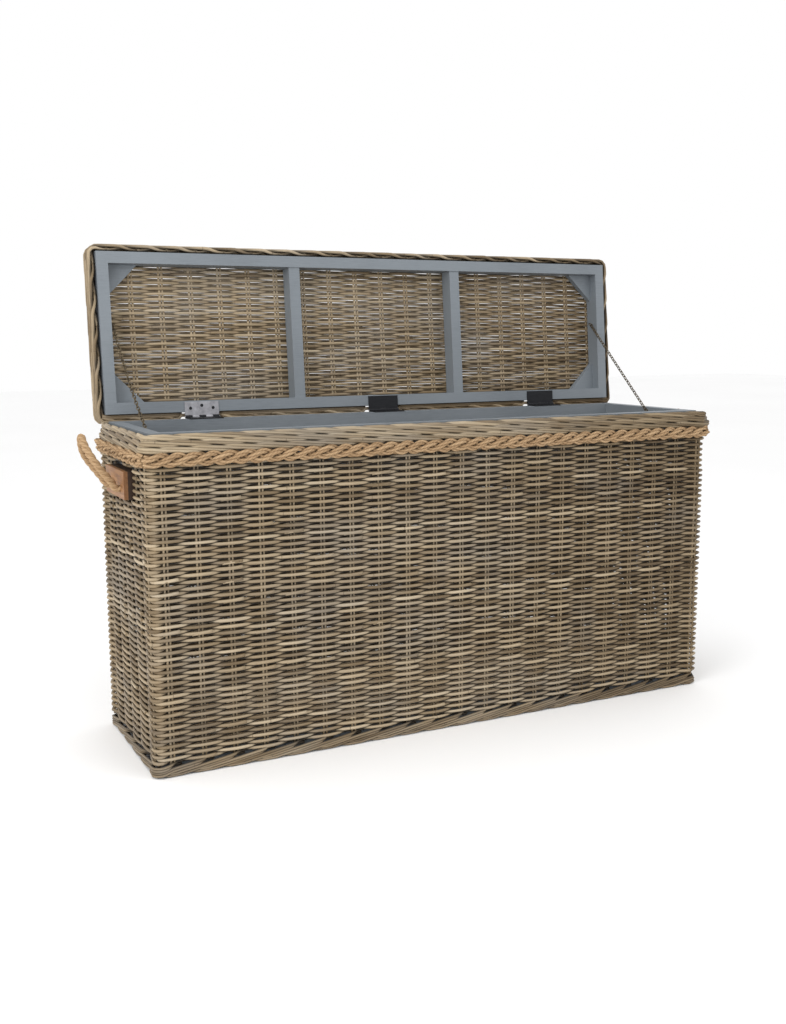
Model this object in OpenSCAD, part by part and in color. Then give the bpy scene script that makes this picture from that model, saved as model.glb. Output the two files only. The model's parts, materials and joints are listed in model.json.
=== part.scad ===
// A long woven cane trunk to sit on, with a hinged lid, stay chains, rope trim and rope handles.
// +X runs along the trunk, -Y is its front and +Z is up. The origin is on the floor, at the
// centre of the foot. The lid is drawn open, against its chains. Sizes are in millimetres.

/* [Box] */
// Length over the woven walls
box_l = 1197; // [900:1:1500]
// Depth over the woven walls
box_d = 328; // [270:1:480]
// Height from the floor to the top of the rim
box_h = 600; // [480:1:740]
// Thickness of a woven wall
wall_t = 12; // [9:0.5:16]
// Outside radius of the upright corners
corner_r = 12; // [8:1:40]

/* [Wooden frame] */
// Thickness of the painted top boards
board_t = 23; // [18:1:30]
// Height of the painted top boards
board_h = 80; // [60:1:110]
// How far the boards stop below the top of the rim
board_drop = 1.5; // [0.5:0.5:4]
// Side of a square corner post
post_w = 25; // [18:1:35]
// Width of a bottom rail
sill_w = 23; // [16:1:30]
// Height of a bottom rail
sill_h = 32; // [20:1:50]
// Height of the bottom rails above the floor
sill_z = 8; // [2:1:20]
// Thickness of the floor panel
floor_t = 9; // [4:1:18]

/* [Borders and rope trim] */
// Height of the rolled rim
rim_h = 33; // [20:1:50]
// How far the rim stands out from the walls
rim_out = 6.5; // [2:0.5:12]
// Height of the plaited rope under the rim
trim_h = 25.5; // [15:0.5:40]
// How far the plaited rope stands out from the walls
trim_out = 14.5; // [8:0.5:20]
// Height of the border round the foot
foot_h = 22; // [12:1:40]
// How far the foot border stands out from the walls
foot_out = 6; // [2:0.5:12]

/* [Lid] */
// Angle from shut to the stop of the chains, in degrees
lid_open = 95.15; // [80:0.05:98]
// From the outside of an end wall in to the end of the lid's frame
lid_end_inset = 9.5; // [4:0.5:20]
// From the outside of the front wall in to the lid's frame
lid_front_inset = 3.5; // [1:0.5:12]
// Width of a lid rail
lid_rail_w = 22; // [16:1:35]
// Depth of a lid rail
lid_rail_h = 36; // [24:1:50]
// Thickness of the woven lid panel
lid_panel_t = 12; // [6:0.5:16]
// Width of the border round the lid, on the front and the ends
lid_border_w = 12; // [6:0.5:18]
// Width of the border along the hinges
lid_border_back = 8.5; // [4:0.5:8.5]
// Height of the border's lower edge above the lid's face
lid_border_lift = 4; // [3:0.5:8]
// Height of the border above the woven panel
lid_border_top = 3; // [0:0.5:8]
// Outside radius of the border's corners
lid_corner_r = 18; // [14:1:30]
// Width of a cross bar
bar_w = 23; // [16:1:40]
// Distance of a cross bar from the middle
bar_x = 188; // [100:1:260]
// How far the bars lie behind the lid's face
bar_drop = 2; // [0:0.5:6]
// Short side of a corner gusset
gusset_leg = 60; // [30:1:90]
// Thickness of a gusset
gusset_t = 13; // [6:1:20]

/* [Hinges] */
// Length of a leaf
leaf_l = 69; // [50:1:90]
// Width of a leaf, from the pin
leaf_w = 30; // [27:0.5:32]
// Thickness of a leaf
leaf_t = 1.8; // [1.2:0.1:2.2]
// Gap between the leaves when the lid is shut
leaf_gap = 1.6; // [1:0.1:2.4]
// Radius of a knuckle
knuckle_r = 3.2; // [2.9:0.1:3.3]
// Radius of the pin
pin_r = 1.6; // [1.2:0.1:1.8]
// Distance between neighbouring hinges
hinge_pitch = 400; // [200:1:420]
// From the outside of the back wall in to the pin
pin_inset = 5.5; // [4.5:0.5:6.5]
// From the pin forward to the lid's frame
pin_setback = 10; // [9:0.5:12]
// Radius of a hinge screw's shank
screw_r = 1.7; // [1.2:0.1:2.2]
// Radius of a hinge screw's head
screw_head_r = 3.2; // [2.6:0.1:3.6]
// Length of a hinge screw
screw_l = 16; // [8:1:20]

/* [Stay chains] */
// Place of the box eyes, front to back
eye_y = -22; // [-60:1:20]
// Depth of the box eyes below the boards' top
eye_drop = 6; // [6:0.5:20]
// From the pin to a lid eye, along the lid
lid_eye_reach = 182.5; // [140:0.5:200]
// From the pin to a lid eye, into the lid
lid_eye_depth = 19.7; // [12:0.1:24]
// Diameter of the chain's wire
wire_d = 1.6; // [1:0.1:2]
// Width of a chain link
link_w = 7; // [5.5:0.5:9]
// Length of one link in the chain, to be rounded to whole links
link_pitch = 8.2; // [6:0.1:12]
// How far the slack left chain hangs from a straight line
chain_sag = 9; // [0:1:12]
// Radius of an eye's ring
eye_r = 4; // [3:0.5:5]
// Diameter of an eye's wire
eye_wire = 1.8; // [1.2:0.1:2.2]

/* [Rope handles] */
// Length of a handle block
block_l = 138; // [110:1:240]
// Height of a handle block
block_h = 49; // [40:1:70]
// How far a block stands out from the wall
block_out = 15; // [12:0.5:22]
// How far a block reaches up behind the side board's edge
block_lap = 8.5; // [8:0.5:14]
// Radius of the rope
rope_r = 6.5; // [5:0.5:9]
// Half the distance between the rope's holes
rope_y = 37; // [26:1:50]
// From the top of the block down to the holes
rope_drop = 33; // [30:1:36]
// Reach of the loop away from its root
loop_out = 48; // [35:1:60]
// Rise of the loop above its root
loop_up = 93; // [70:1:110]
// Radius of the knots inside the box
knot_r = 13; // [11:0.5:19]
// Length of a handle screw
handle_screw_l = 38; // [30:1:42]

/* [Hidden] */

$fn = 48;
cane = [0.62, 0.54, 0.43];
paint = [0.55, 0.60, 0.64];
jute = [0.80, 0.63, 0.44];
timber = [0.69, 0.44, 0.24];
ply = [0.78, 0.68, 0.52];
black_steel = [0.20, 0.20, 0.22];
bronze = [0.34, 0.29, 0.21];

// Clearances: a pin in its lid leaf, between knuckles, beside a knuckle, round a block and a rope.
pin_clear = 0.05;
knuckle_gap = 0.3;
knuckle_clear = 0.4;
block_clear = 4;
rope_clear = 0.4;
root_gap = 1;
link_clear = 0.3;
eye_stand = 0.5;

// The room inside the walls, which the wooden frame fills.
room_l = box_l - 2 * wall_t;
room_d = box_d - 2 * wall_t;
corner_y = box_d / 2 - max(corner_r, wall_t);
board_top = box_h - board_drop;
board_z = board_top - board_h;
floor_z = sill_z + sill_h;
rim_z = box_h - rim_h;
trim_z = rim_z - trim_h;

// The hinge line, and the lid when it is shut.
pin_y = box_d / 2 - pin_inset;
pin_z = board_top + leaf_t + leaf_gap / 2;
lid_z = pin_z + leaf_gap / 2 + leaf_t;
lid_l = box_l - 2 * lid_end_inset;
lid_front = lid_front_inset - box_d / 2;
lid_back = pin_y - pin_setback;
lid_border_h = lid_rail_h + lid_panel_t + lid_border_top - lid_border_lift;
knuckles = 5;
screw_x = leaf_l / 3;
screw_near = pin_setback + 7;
screw_far = pin_setback + 12;

// The chain eyes, each on the inner face of its board.
eye_hold = eye_r + eye_wire / 2 + eye_stand;
eye_shank_l = 12;
box_eye_x = room_l / 2 - board_t - eye_hold;
lid_eye_x = lid_l / 2 - lid_rail_w - eye_hold;
box_eye_z = board_top - eye_drop;

// The handle blocks and the roots of the rope loops, on the block's face.
block_z = board_z + block_lap - block_h;
rope_z = block_z + block_h - rope_drop;
block_face_x = box_l / 2 + block_out;
root_x = block_face_x + rope_r + root_gap;
handle_screw_r = 2;
handle_screw_head_r = 3.8;
handle_screw_y = block_l / 2 - 25;

function unit(v) = v / norm(v);

// A point of the lid, given from the pin when shut, turned to the open lid.
function opened(y, z) = [
  pin_y + y * cos(lid_open) + z * sin(lid_open),
  pin_z - y * sin(lid_open) + z * cos(lid_open)
];

module rounded(l, d, r) {
  square([l - 2 * r, d], center = true);
  square([l, d - 2 * r], center = true);
  for (x = [-1, 1], y = [-1, 1])
    translate([x * (l / 2 - r), y * (d / 2 - r)]) circle(r = r);
}

// Keeps one side of what stands round the box; the front and back take the corners.
module side_of(side) {
  far = 2 * box_l;
  intersection() {
    children();
    if (side == "front") translate([-far, -far - corner_y, -far]) cube([2 * far, far, 2 * far]);
    if (side == "back") translate([-far, corner_y, -far]) cube([2 * far, far, 2 * far]);
    if (side == "left") translate([-far, -corner_y, -far]) cube([far, 2 * corner_y, 2 * far]);
    if (side == "right") translate([0, -corner_y, -far]) cube([far, 2 * corner_y, 2 * far]);
  }
}

module band(out, z, h) {
  translate([0, 0, z]) linear_extrude(h) difference() {
    rounded(box_l + 2 * out, box_d + 2 * out, corner_r + out);
    square([room_l, room_d], center = true);
  }
}

module block_opening() {
  for (x = [-1, 1])
    translate([x * box_l / 2, 0, block_z + block_h / 2])
      cube([4 * wall_t, block_l + 2 * block_clear, block_h + 2 * block_clear], center = true);
}

module wall(side) {
  color(cane) difference() {
    side_of(side) band(0, foot_h, rim_z - foot_h);
    if (side == "left" || side == "right") block_opening();
  }
}

module rim(side) {
  color(cane) difference() {
    side_of(side) band(rim_out, rim_z, rim_h);
    if (side == "back") knuckle_seats();
  }
}

// The rim is pressed down where the knuckles and leaves cross it.
module knuckle_seats() {
  low = pin_z - knuckle_r - knuckle_clear;
  reach = knuckle_r + 2 * knuckle_clear;
  for (i = [-1, 0, 1])
    translate([i * hinge_pitch - leaf_l / 2 - 1.5, room_d / 2 - 1, low])
      cube([leaf_l + 3, pin_y + reach - room_d / 2 + 1, box_h]);
}

module rope_trim() {
  color(jute) translate([0, 0, trim_z]) linear_extrude(trim_h) difference() {
    rounded(box_l + 2 * trim_out, box_d + 2 * trim_out, corner_r + trim_out);
    rounded(box_l, box_d, corner_r);
  }
}

module foot_border() {
  color(cane) band(foot_out, 0, foot_h);
}

// A board or rail of the box: the front and back run full length, the ends fit between them.
module frame_member(side, t, z, h) {
  long = side == "front" || side == "back";
  sign = side == "front" || side == "left" ? -1 : 1;
  translate([long ? 0 : sign * (room_l - t) / 2, long ? sign * (room_d - t) / 2 : 0, z + h / 2])
    cube([long ? room_l : t, long ? t : room_d - 2 * t, h], center = true);
}

module top_board(side) {
  color(paint) difference() {
    frame_member(side, board_t, board_z, board_h);
    if (side == "back") hinge_screws_at_box();
    if (side == "left" || side == "right") {
      handle_screws_all();
      box_eye_shanks();
    }
  }
}

module sill(side) {
  color(timber) frame_member(side, sill_w, sill_z, sill_h);
}

module corner_post(x, y) {
  color(timber)
    translate([x * (room_l - post_w) / 2, y * (room_d - post_w) / 2, floor_z + floor_t])
      translate([-post_w / 2, -post_w / 2, 0])
        cube([post_w, post_w, board_z - floor_z - floor_t]);
}

module floor_panel() {
  color(ply) translate([-room_l / 2, -room_d / 2, floor_z]) cube([room_l, room_d, floor_t]);
}

// One end's block, with the rope's two holes through it.
module handle_block(x) {
  color(timber) difference() {
    translate([x * (block_face_x + room_l / 2) / 2, 0, block_z + block_h / 2])
      cube([block_face_x - room_l / 2, block_l, block_h], center = true);
    for (y = [-1, 1])
      translate([x * box_l / 2, y * rope_y, rope_z]) rotate([0, 90, 0])
        cylinder(r = rope_r + rope_clear, h = 4 * (wall_t + block_out), center = true);
    handle_screws_all();
  }
}

// A wood screw from inside the box, out through the side board into the block.
module handle_screws_all() {
  for (x = [-1, 1], y = [-1, 1])
    translate([x * (room_l / 2 - board_t), y * handle_screw_y, board_z + block_lap / 2])
      rotate([0, x * 90, 0]) {
        cylinder(r = handle_screw_head_r, h = 2);
        cylinder(r = handle_screw_r, h = handle_screw_l);
      }
}

// The fixed ends of a handle's rope: through the block, and knotted inside the box.
module rope_ends(x) {
  knot_x = room_l / 2 - knot_r - rope_clear;
  run = block_face_x - knot_x;
  color(jute) for (y = [-1, 1])
    translate([x * knot_x, y * rope_y, rope_z]) rotate([0, x * 90, 0])
      rotate_extrude() {
        square([rope_r, run]);
        intersection() {
          circle(r = knot_r);
          translate([0, -knot_r]) square([knot_r, 2 * knot_r]);
        }
      }
}

// A loop's side view, out and up from its root, as a cubic curve; t runs from root to top.
function loop_side(t) =
  let (p1 = [0.17 * loop_out, 0.24 * loop_up],
       p2 = [0.96 * loop_out, 0.54 * loop_up],
       p3 = [loop_out, loop_up])
  3 * (1 - t) * (1 - t) * t * p1 + 3 * (1 - t) * t * t * p2 + t * t * t * p3;

// The loop's line: two straight legs, then an arch over the upper part.
arch_from = 0.5;
leg_steps = 8;
arch_steps = 20;
function loop_point(t, y) = let (s = loop_side(t)) [s[0], y, s[1]];
loop_line = concat(
  [for (i = [0 : leg_steps - 1]) loop_point(arch_from * i / leg_steps, -rope_y)],
  [for (i = [0 : arch_steps]) let (a = 180 * i / arch_steps)
    loop_point(arch_from + (1 - arch_from) * sin(a), -rope_y * cos(a))],
  [for (i = [leg_steps - 1 : -1 : 0]) loop_point(arch_from * i / leg_steps, rope_y)]
);

// A round rope along a line; each ring stands square to it, turned by a fixed side direction.
module swept(line, r, sides, aside) {
  last = len(line) - 1;
  rings = [for (i = [0 : last])
    let (t = unit(line[min(i + 1, last)] - line[max(i - 1, 0)]),
         n = unit(aside - (aside * t) * t),
         b = cross(t, n))
    for (k = [0 : sides - 1]) line[i] + r * (cos(360 * k / sides) * n + sin(360 * k / sides) * b)];
  skin = [for (i = [0 : last - 1], k = [0 : sides - 1])
    let (m = (k + 1) % sides, a = i * sides, c = a + sides)
    for (f = [[a + k, c + k, c + m], [a + k, c + m, a + m]]) f];
  foot = [[for (k = [0 : sides - 1]) k]];
  head = [[for (k = [sides - 1 : -1 : 0]) last * sides + k]];
  polyhedron(points = rings, faces = concat(skin, foot, head));
}

// A loop turns about its flat ends, which stand root_gap clear of the block.
module rope_loop(x) {
  color(jute) translate([x * root_x, 0, rope_z]) mirror([x < 0 ? 1 : 0, 0, 0])
    swept(loop_line, rope_r, 12, [1, 0, -0.3]);
}

// The knuckles of one leaf; the box leaf has the first, third and fifth.
module knuckle_row(first, extra_r, extra_l) {
  pitch = leaf_l / knuckles;
  for (i = [first : 2 : knuckles - 1])
    translate([(i + 0.5) * pitch - leaf_l / 2, 0, 0]) rotate([0, 90, 0])
      cylinder(r = knuckle_r + extra_r, h = pitch - knuckle_gap + extra_l, center = true);
}

// A leaf with its pin along X at the origin and its plate towards -Y, on the side given.
module leaf(first, up, bore_r) {
  low = up > 0 ? leaf_gap / 2 : -leaf_gap / 2 - leaf_t;
  difference() {
    union() {
      difference() {
        translate([-leaf_l / 2, -leaf_w, low]) cube([leaf_l, leaf_w, leaf_t]);
        knuckle_row(1 - first, knuckle_clear, 2 * knuckle_gap);
      }
      knuckle_row(first, 0, 0);
    }
    rotate([0, 90, 0]) cylinder(r = bore_r, h = 2 * leaf_l, center = true);
    leaf_screws(up);
  }
}

// Three countersunk screws in a leaf, pointing away from the other leaf.
module leaf_screws(up) {
  for (i = [-1, 0, 1])
    translate([i * screw_x, i == 0 ? -screw_far : -screw_near, up * leaf_gap / 2])
      mirror([0, 0, up > 0 ? 0 : 1]) {
        cylinder(r1 = screw_head_r, r2 = screw_r, h = leaf_t);
        cylinder(r = screw_r, h = screw_l);
      }
}

module at_pin() translate([0, pin_y, pin_z]) children();
module opened_lid() at_pin() rotate([-lid_open, 0, 0]) translate([0, -pin_y, -pin_z]) children();
module each_hinge() for (i = [-1, 0, 1]) translate([i * hinge_pitch, 0, 0]) children();

module hinge_screws_at_box() each_hinge() at_pin() leaf_screws(-1);
module hinge_screws_at_lid() each_hinge() at_pin() leaf_screws(1);

module box_leaf(i) color(black_steel) translate([i * hinge_pitch, 0, 0]) at_pin() leaf(0, -1, pin_r);
module lid_leaf(i) color(black_steel) opened_lid()
  translate([i * hinge_pitch, 0, 0]) at_pin() leaf(1, 1, pin_r + pin_clear);

module hinge_pins() {
  color(black_steel) each_hinge() at_pin() rotate([0, 90, 0])
    cylinder(r = pin_r, h = leaf_l + 2, center = true);
}

// A place in the frame, with local X along one direction and local Z near another.
module aligned(at, along, up) {
  x = unit(along);
  y = unit(cross(up, x));
  z = cross(x, y);
  multmatrix([
    [x[0], y[0], z[0], at[0]],
    [x[1], y[1], z[1], at[1]],
    [x[2], y[2], z[2], at[2]]
  ]) children();
}

function box_eye(x) = [x * box_eye_x, eye_y, box_eye_z];
function lid_eye(x) =
  let (p = opened(-lid_eye_reach, lid_eye_depth)) [x * lid_eye_x, p[0], p[1]];

// A ring whose plane holds X and the chain, on a shank that goes into the board.
module eye(at, x, towards) {
  aligned(at, towards - at, cross(towards - at, [1, 0, 0]))
    rotate_extrude() translate([eye_r, 0]) circle(r = eye_wire / 2, $fn = 24);
  eye_shank(at, x);
}

module eye_shank(at, x) {
  translate(at) rotate([0, x * 90, 0]) translate([0, 0, eye_r])
    cylinder(r = eye_wire / 2, h = eye_shank_l, $fn = 24);
}

module box_eye_shanks() for (x = [-1, 1]) eye_shank(box_eye(x), x);
module lid_eye_shanks() for (x = [-1, 1]) eye_shank(lid_eye(x), x);

module chain_eyes_box() color(bronze) for (x = [-1, 1]) eye(box_eye(x), x, lid_eye(x));
module chain_eyes_lid() color(bronze) for (x = [-1, 1]) eye(lid_eye(x), x, box_eye(x));

module stadium(l, w) {
  square([l - w, w], center = true);
  for (x = [-1, 1]) translate([x * (l - w) / 2, 0]) circle(r = w / 2, $fn = 24);
}

// An oval link, long along X and flat in XY; the middle of its wire reaches +-reach.
module chain_link(reach) {
  l = 2 * reach + wire_d;
  translate([0, 0, -wire_d / 2]) linear_extrude(wire_d) difference() {
    stadium(l, link_w);
    stadium(l - 2 * wire_d, link_w - 2 * wire_d);
  }
}

// A chain from the box eye to the lid eye; an odd number of links, each turned a quarter.
module stay_chain(x, sag) {
  a = box_eye(x);
  b = lid_eye(x);
  dir = unit(b - a);
  down = unit(cross([1, 0, 0], dir));
  grip = eye_r - (eye_wire + wire_d) / 2 - link_clear;
  lap = wire_d + link_clear;
  run = norm(b - a) - 2 * grip - lap;
  links = 2 * floor(run / link_pitch / 2) + 1;
  pitch = run / links;
  color(bronze) for (i = [0 : links - 1]) {
    s = grip + i * pitch + (pitch + lap) / 2;
    t = s / norm(b - a);
    bow = 4 * sag * t * (1 - t);
    slope = 4 * sag * (1 - 2 * t) / norm(b - a);
    along = dir - slope * down;
    aligned(a + s * dir - bow * down, along, i % 2 == 0 ? [1, 0, 0] : cross(along, [1, 0, 0]))
      chain_link((pitch + lap) / 2);
  }
}

// A rail of the lid: the front and back run full length, the ends fit between them.
module lid_rail(side) {
  long = side == "front" || side == "back";
  x0 = side == "right" ? lid_l / 2 - lid_rail_w : -lid_l / 2;
  y0 = side == "back" ? lid_back - lid_rail_w : side == "front" ? lid_front : lid_front + lid_rail_w;
  color(paint) difference() {
    opened_lid() difference() {
      translate([x0, y0, lid_z]) cube([
        long ? lid_l : lid_rail_w,
        long ? lid_rail_w : lid_back - lid_front - 2 * lid_rail_w,
        lid_rail_h
      ]);
      if (side == "back") hinge_screws_at_lid();
    }
    if (!long) lid_eye_shanks();
  }
}

module lid_bar(x) {
  color(paint) opened_lid()
    translate([x * bar_x - bar_w / 2, lid_front + lid_rail_w, lid_z + bar_drop])
      cube([bar_w, lid_back - lid_front - 2 * lid_rail_w, lid_rail_h - bar_drop]);
}

module lid_gussets() {
  mid = (lid_front + lid_back) / 2;
  half_l = lid_l / 2 - lid_rail_w;
  half_d = (lid_back - lid_front) / 2 - lid_rail_w;
  color(paint) opened_lid()
    for (x = [0, 1], y = [0, 1])
      translate([0, mid, lid_z + lid_rail_h - gusset_t]) mirror([x, 0, 0]) mirror([0, y, 0])
        linear_extrude(gusset_t) polygon([
          [half_l, half_d],
          [half_l - gusset_leg, half_d],
          [half_l, half_d - gusset_leg]
        ]);
}

module lid_panel() {
  color(cane) opened_lid() translate([-lid_l / 2, lid_front, lid_z + lid_rail_h])
    cube([lid_l, lid_back - lid_front, lid_panel_t]);
}

module lid_border(side) {
  y0 = lid_front - lid_border_w;
  y1 = lid_back + lid_border_back;
  x1 = lid_l / 2 + lid_border_w;
  cut = lid_corner_r;
  color(cane) opened_lid() intersection() {
    translate([0, 0, lid_z + lid_border_lift]) linear_extrude(lid_border_h) difference() {
      translate([0, (y0 + y1) / 2]) rounded(2 * x1, y1 - y0, lid_corner_r);
      translate([-lid_l / 2, lid_front]) square([lid_l, lid_back - lid_front]);
    }
    if (side == "front") translate([-x1, y0, 0]) cube([2 * x1, cut, 2 * box_h]);
    if (side == "back") translate([-x1, y1 - cut, 0]) cube([2 * x1, cut, 2 * box_h]);
    if (side == "left") translate([-x1, y0 + cut, 0]) cube([x1, y1 - y0 - 2 * cut, 2 * box_h]);
    if (side == "right") translate([0, y0 + cut, 0]) cube([x1, y1 - y0 - 2 * cut, 2 * box_h]);
  }
}

top_board("front");  // top_board_front
top_board("back");  // top_board_back
top_board("left");  // top_board_left
top_board("right");  // top_board_right
corner_post(-1, -1);  // corner_post_front_left
corner_post(1, -1);  // corner_post_front_right
corner_post(-1, 1);  // corner_post_back_left
corner_post(1, 1);  // corner_post_back_right
sill("front");  // sill_front
sill("back");  // sill_back
sill("left");  // sill_left
sill("right");  // sill_right
floor_panel();
wall("front");  // wall_front
wall("back");  // wall_back
wall("left");  // wall_left
wall("right");  // wall_right
rim("front");  // rim_front
rim("back");  // rim_back
rim("left");  // rim_left
rim("right");  // rim_right
rope_trim();
foot_border();
handle_block(-1);  // handle_block_left
handle_block(1);  // handle_block_right
color(black_steel) handle_screws_all();  // handle_screws
rope_ends(-1);  // rope_ends_left
rope_ends(1);  // rope_ends_right
rope_loop(-1);  // rope_loop_left
rope_loop(1);  // rope_loop_right
box_leaf(-1);  // hinge_box_leaf_left
box_leaf(0);  // hinge_box_leaf_middle
box_leaf(1);  // hinge_box_leaf_right
lid_leaf(-1);  // hinge_lid_leaf_left
lid_leaf(0);  // hinge_lid_leaf_middle
lid_leaf(1);  // hinge_lid_leaf_right
hinge_pins();
color(black_steel) hinge_screws_at_box();  // hinge_screws_box
color(black_steel) opened_lid() hinge_screws_at_lid();  // hinge_screws_lid
chain_eyes_box();
chain_eyes_lid();
stay_chain(-1, chain_sag);  // chain_left
stay_chain(1, 0);  // chain_right
lid_rail("front");  // lid_rail_front
lid_rail("back");  // lid_rail_back
lid_rail("left");  // lid_rail_left
lid_rail("right");  // lid_rail_right
lid_bar(-1);  // lid_bar_left
lid_bar(1);  // lid_bar_right
lid_gussets();
lid_panel();
lid_border("front");  // lid_border_front
lid_border("back");  // lid_border_back
lid_border("left");  // lid_border_left
lid_border("right");  // lid_border_right
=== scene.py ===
import json
import math
import random

import bmesh
import bpy
import numpy as np
from mathutils import Matrix, Vector


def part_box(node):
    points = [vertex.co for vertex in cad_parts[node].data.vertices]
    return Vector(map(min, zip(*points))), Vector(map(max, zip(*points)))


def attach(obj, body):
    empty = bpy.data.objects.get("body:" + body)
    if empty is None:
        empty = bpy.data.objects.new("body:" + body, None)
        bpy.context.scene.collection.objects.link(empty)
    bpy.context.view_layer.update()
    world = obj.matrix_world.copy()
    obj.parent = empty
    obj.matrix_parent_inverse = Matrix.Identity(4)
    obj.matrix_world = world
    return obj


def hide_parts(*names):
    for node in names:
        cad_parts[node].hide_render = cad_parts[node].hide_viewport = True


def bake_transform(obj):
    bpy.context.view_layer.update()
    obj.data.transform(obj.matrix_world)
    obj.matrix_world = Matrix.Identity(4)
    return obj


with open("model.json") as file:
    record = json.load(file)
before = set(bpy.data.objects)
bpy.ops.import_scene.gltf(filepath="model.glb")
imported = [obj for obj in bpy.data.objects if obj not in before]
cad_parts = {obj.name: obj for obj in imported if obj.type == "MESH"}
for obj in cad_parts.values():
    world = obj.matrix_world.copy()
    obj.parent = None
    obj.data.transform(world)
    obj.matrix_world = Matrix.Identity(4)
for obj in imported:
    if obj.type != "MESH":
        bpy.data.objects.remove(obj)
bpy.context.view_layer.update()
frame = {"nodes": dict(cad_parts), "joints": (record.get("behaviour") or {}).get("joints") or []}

# ---- Camera ----------------------------------------------------------------
# A standing person's view of the open trunk, a little to the left of its
# middle and looking slightly down on it.
camera_at = (-1.0571, -2.004, 0.7624)
turned_right = math.radians(26.496)
tipped_down = math.radians(9.038)
rolled = math.radians(-0.217)
camera = bpy.data.objects.new("camera", bpy.data.cameras.new("camera"))
camera.location = camera_at
camera.rotation_euler = (
    Matrix.Rotation(-turned_right, 3, "Z")
    @ Matrix.Rotation(math.pi / 2 - tipped_down, 3, "X")
    @ Matrix.Rotation(rolled, 3, "Z")
).to_euler()
camera.data.lens = 39.5
camera.data.sensor_width = 36
bpy.context.scene.collection.objects.link(camera)
bpy.context.scene.camera = camera

# ---- Floor and light -------------------------------------------------------
# A pale studio floor, a wide soft light overhead, a softer one from the left
# and an even white surround.
bpy.context.scene.view_settings.view_transform = "Standard"


def soft_light(name, at, aim, width, height, power):
    """A rectangular studio light that faces the point aim."""
    lamp = bpy.data.lights.new(name, "AREA")
    lamp.shape = "RECTANGLE"
    lamp.size = width
    lamp.size_y = height
    lamp.energy = power
    holder = bpy.data.objects.new(name, lamp)
    holder.location = at
    holder.rotation_euler = (Vector(aim) - Vector(at)).to_track_quat("-Z", "Y").to_euler()
    bpy.context.scene.collection.objects.link(holder)


soft_light("overhead", (-0.4, -0.9, 3.2), (0, 0, 0.3), 3.0, 1.6, 22)
soft_light("left_box", (-3.0, -1.6, 1.5), (0, 0, 0.4), 1.6, 1.6, 42)

surround = bpy.data.worlds.new("surround")
surround.use_nodes = True
surround.node_tree.nodes["Background"].inputs["Color"].default_value = (1, 1, 1, 1)
surround.node_tree.nodes["Background"].inputs["Strength"].default_value = 1.0
bpy.context.scene.world = surround


class Wire:
    """An output of a node in a material; sums and products of wires add their maths nodes."""

    def __init__(self, tree, socket=None):
        self.tree = tree
        self.socket = socket

    def add(self, kind, settings=(), sockets=(), out=0):
        """A node of this kind, set first, then given its values and links; returns one output."""
        node = self.tree.nodes.new("ShaderNode" + kind)
        for key, value in dict(settings).items():
            if key == "stops":
                ramp = node.color_ramp.elements
                while len(ramp) < len(value):
                    ramp.new(1)
                for stop, (place, colour) in zip(ramp, value):
                    stop.position = place
                    stop.color = (*colour, 1)
            else:
                setattr(node, key, value)
        for key, value in dict(sockets).items():
            if isinstance(value, Wire):
                self.tree.links.new(value.socket, node.inputs[key])
            else:
                node.inputs[key].default_value = value
        return Wire(self.tree, node.outputs[out])

    def place(self):
        """Where a point lies on the object, in metres."""
        return self.add("TexCoord", out=3)

    def attribute(self, name, out=2):
        """A value kept on the mesh; its output 1 is a vector, its output 2 a number."""
        return self.add("Attribute", {"attribute_name": name}, out=out)

    def part(self, axis):
        """One number of this vector: 0, 1 and 2 are its x, y and z."""
        return self.add("SeparateXYZ", sockets={0: self}, out=axis)

    def maths(self, operation, a, b=0.0):
        return self.add("Math", {"operation": operation}, {0: a, 1: b})

    def __add__(self, other):
        return self.maths("ADD", self, other)

    def __radd__(self, other):
        return self.maths("ADD", other, self)

    def __sub__(self, other):
        return self.maths("SUBTRACT", self, other)

    def __rsub__(self, other):
        return self.maths("SUBTRACT", other, self)

    def __mul__(self, other):
        return self.maths("MULTIPLY", self, other)

    def __rmul__(self, other):
        return self.maths("MULTIPLY", other, self)

    def __gt__(self, other):
        return self.maths("GREATER_THAN", self, other)

    def __lt__(self, other):
        return self.maths("LESS_THAN", self, other)

    def colours(self, *stops):
        """This value turned into a colour by a ramp of (place, colour) stops."""
        return self.add("ValToRGB", {"stops": stops}, {"Fac": self})

    def mixed(self, one, other):
        """From one colour at 0 to the other at 1."""
        colours = [c if isinstance(c, Wire) else (*c, 1) for c in (one, other)]
        return self.add("Mix", {"data_type": "RGBA"}, {0: self, 6: colours[0], 7: colours[1]}, 2)

    def stretched(self, x, y, z):
        return self.add("Mapping", {}, {"Vector": self, "Scale": (x, y, z)})

    def noise(self, scale, detail=2.0, rough=0.5):
        sockets = {"Vector": self, "Scale": scale, "Detail": detail, "Roughness": rough}
        return self.add("TexNoise", {}, sockets)


def finish(name, make):
    """A material: make(wire) gives its Principled sockets, and Height as a bump and its depth."""
    material = bpy.data.materials.new(name)
    material.use_nodes = True
    tree = material.node_tree
    tree.nodes.clear()
    wire = Wire(tree)
    sockets = make(wire)
    if "Height" in sockets:
        height, depth = sockets.pop("Height")
        bump = wire.add("Bump", {}, {"Height": height, "Distance": depth, "Strength": 1.0})
        sockets["Normal"] = bump
    shader = wire.add("BsdfPrincipled", {}, sockets)
    end = tree.nodes.new("ShaderNodeOutputMaterial")
    tree.links.new(shader.socket, end.inputs["Surface"])
    return material


def pale_floor(wire):
    place = wire.place()
    shade = place.noise(0.7).colours((0.3, (0.955, 0.955, 0.955)), (0.7, (0.975, 0.975, 0.975)))
    return {"Base Color": shade, "Roughness": 0.8}


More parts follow.
